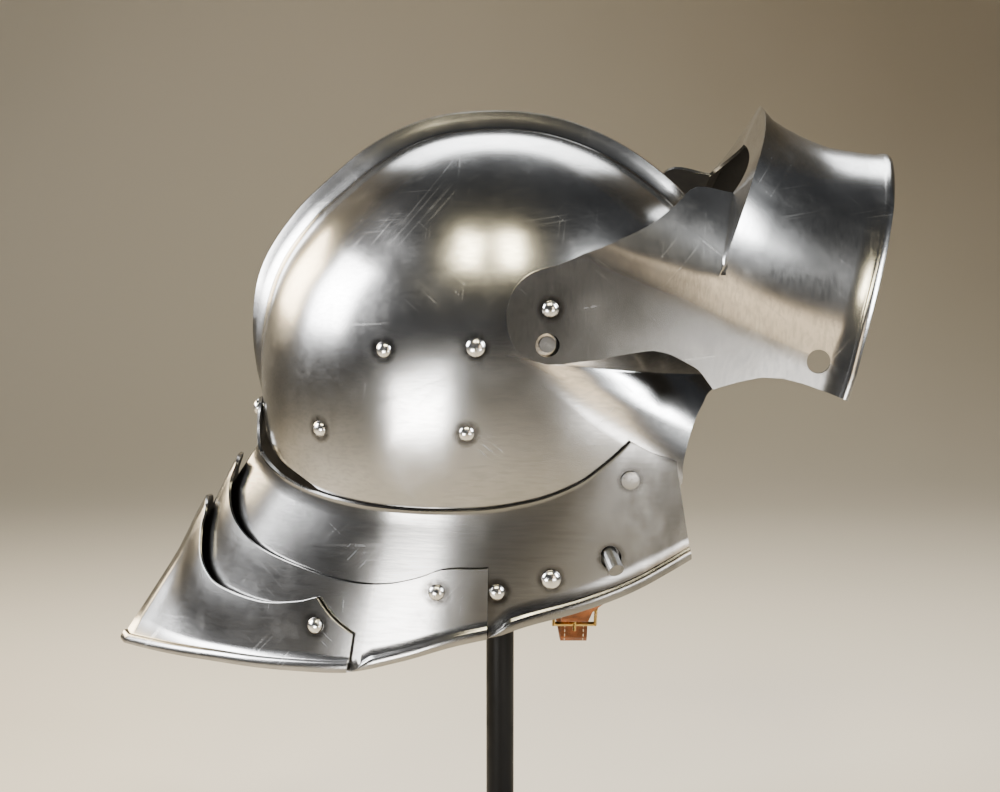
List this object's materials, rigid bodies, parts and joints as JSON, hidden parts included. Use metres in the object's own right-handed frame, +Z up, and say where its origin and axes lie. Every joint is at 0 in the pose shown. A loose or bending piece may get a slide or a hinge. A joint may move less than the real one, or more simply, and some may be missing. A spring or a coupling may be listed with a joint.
{
  "type": "sallet on a stand",
  "caption": "Visored war helmet with a low comb, a jointed tail and a chin strap, held on a plain pole stand.",
  "frame": {"origin": "centre of the stand's round foot, on the ground", "axes": "+X the way the face looks, +Y the wearer's left, +Z up along the pole"},
  "size_m": [0.4045, 0.22, 0.4196],
  "materials": {
    "steel_plate": "satin, finely brushed",
    "worn_steel": "dull, worn",
    "bright_steel": "polished",
    "brown_leather": "smooth, lightly waxed",
    "brass": "polished",
    "black_paint": "satin black",
    "black_plastic": "matt black"
  },
  "bodies": {
    "helmet": {"bowl": "steel_plate", "front_lame": "steel_plate", "cheek_rivet_right": "worn_steel", "cheek_rivet_left": "worn_steel", "upper_catch_right": "worn_steel", "upper_catch_left": "worn_steel", "lower_catch_right": "worn_steel", "lower_catch_left": "worn_steel", "back_rivet": "bright_steel", "bowl_rivet_middle_right": "bright_steel", "bowl_rivet_middle_left": "bright_steel", "bowl_rivet_rear_right": "bright_steel", "bowl_rivet_rear_left": "bright_steel", "visor_pivot_right": "bright_steel", "visor_pivot_left": "bright_steel", "strap_rivet_right": "bright_steel", "strap_rivet_left": "bright_steel", "upper_spring_rivet_right": "bright_steel", "upper_spring_rivet_left": "bright_steel", "skirt_rivet_right": "bright_steel", "skirt_rivet_left": "bright_steel", "lower_spring_rivet_right": "bright_steel", "lower_spring_rivet_left": "bright_steel", "middle_lame_pivot_right": "bright_steel", "middle_lame_pivot_left": "bright_steel", "chin_strap_right": "brown_leather", "chin_strap_left": "brown_leather", "buckle_frame": "brass", "buckle_prong": "brass", "stand_base": "black_paint", "stand_pole": "black_paint", "stand_cap": "black_plastic"},
    "visor": {"visor": "steel_plate"},
    "middle_lame": {"middle_lame": "steel_plate", "rear_lame_pivot_right": "bright_steel", "rear_lame_pivot_left": "bright_steel"},
    "rear_lame": {"rear_lame": "steel_plate"}
  },
  "joints": [
    {"name": "visor_hinge", "type": "hinge", "parent": "helmet", "child": "visor", "pos_m": [0.02418, 0, 0.32736], "axis": [0, 1, 0], "range_deg": [0, 64.5]},
    {"name": "middle_lame_hinge", "type": "hinge", "parent": "helmet", "child": "middle_lame", "pos_m": [-0.03122, 0, 0.18588], "axis": [0, 1, 0], "range_deg": [0, 8]},
    {"name": "rear_lame_hinge", "type": "hinge", "parent": "middle_lame", "child": "rear_lame", "pos_m": [-0.0922, 0, 0.16501], "axis": [0, 1, 0], "range_deg": [0, 8]}
  ]
}
